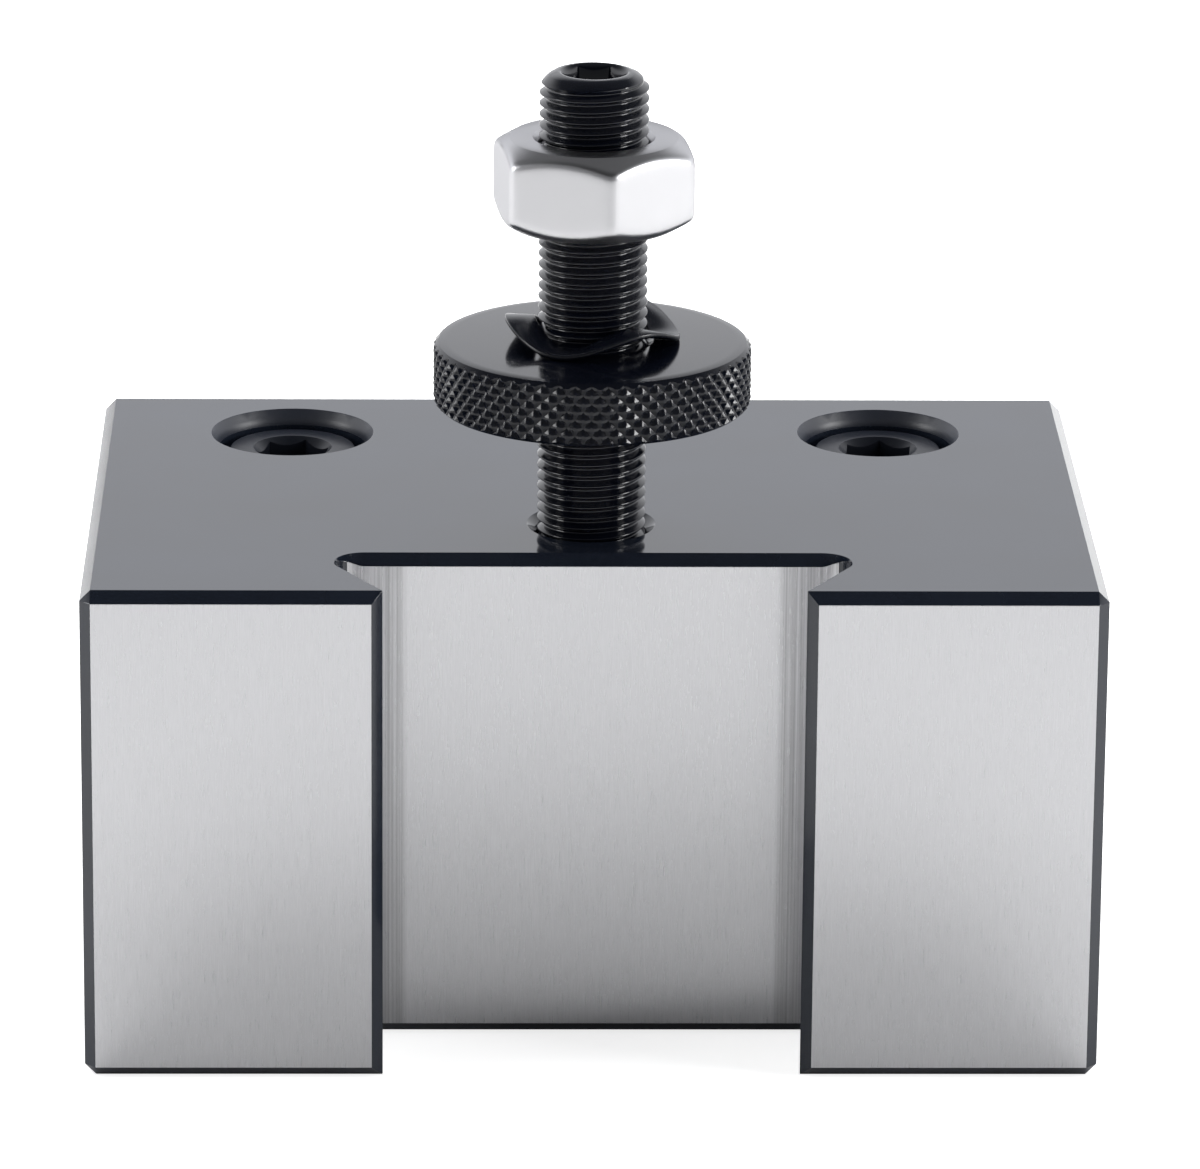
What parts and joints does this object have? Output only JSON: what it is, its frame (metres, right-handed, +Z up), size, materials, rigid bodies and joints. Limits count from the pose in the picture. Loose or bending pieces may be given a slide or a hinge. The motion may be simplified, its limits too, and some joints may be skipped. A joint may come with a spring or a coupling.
{
  "type": "boring bar holder",
  "caption": "Split clamping block with a dovetail slot, a through bore for a boring bar, and a height stud with knurled nut, wave washer and lock nut.",
  "frame": {"origin": "middle of the block's underside", "axes": "+X along the boring bar, -Y out of the dovetail slot, +Z up along the height stud"},
  "size_m": [0.092, 0.062, 0.0888],
  "materials": {
    "block_steel": "satin black oxide; wing faces, slot flanks and slot floor ground bright",
    "stud_black": "glossy oiled black oxide",
    "knurled_black": "glossy oiled black oxide, knurled rim",
    "spring_black": "glossy black oxide",
    "bright_zinc": "bright zinc plate",
    "screw_black": "satin black oxide"
  },
  "bodies": {
    "holder": {"body_block": "block_steel", "height_stud": "stud_black"},
    "washer": {"wave_spring_washer": "spring_black"},
    "knurled_nut": {"knurled_adjusting_nut": "knurled_black"},
    "lock_nut": {"lock_nut": "bright_zinc"},
    "left_screw": {"clamp_screw_left": "screw_black"},
    "right_screw": {"clamp_screw_right": "screw_black"}
  },
  "joints": [
    {"name": "height_travel", "type": "slide", "parent": "holder", "child": "washer", "axis": [0, 0, 1], "range_m": [-0.011, 0.003]},
    {"name": "height_turn", "type": "hinge", "parent": "washer", "child": "knurled_nut", "pos_m": [0, -0.0098, 0.0607], "axis": [0, 0, 1], "range_deg": [-3960, 1080]},
    {"name": "lock_nut_travel", "type": "slide", "parent": "holder", "child": "lock_nut", "axis": [0, 0, 1], "range_m": [-0.0055, 0.005]},
    {"name": "left_screw_turn", "type": "hinge", "parent": "holder", "child": "left_screw", "pos_m": [-0.02785, 0.019, 0.0447], "axis": [0, 0, 1], "range_deg": [0, 360]},
    {"name": "right_screw_turn", "type": "hinge", "parent": "holder", "child": "right_screw", "pos_m": [0.02785, 0.019, 0.0447], "axis": [0, 0, 1], "range_deg": [0, 360]}
  ],
  "couplings": [
    {"joint": "height_travel", "follows": "height_turn", "m_per_rad": 0.00015915}
  ]
}
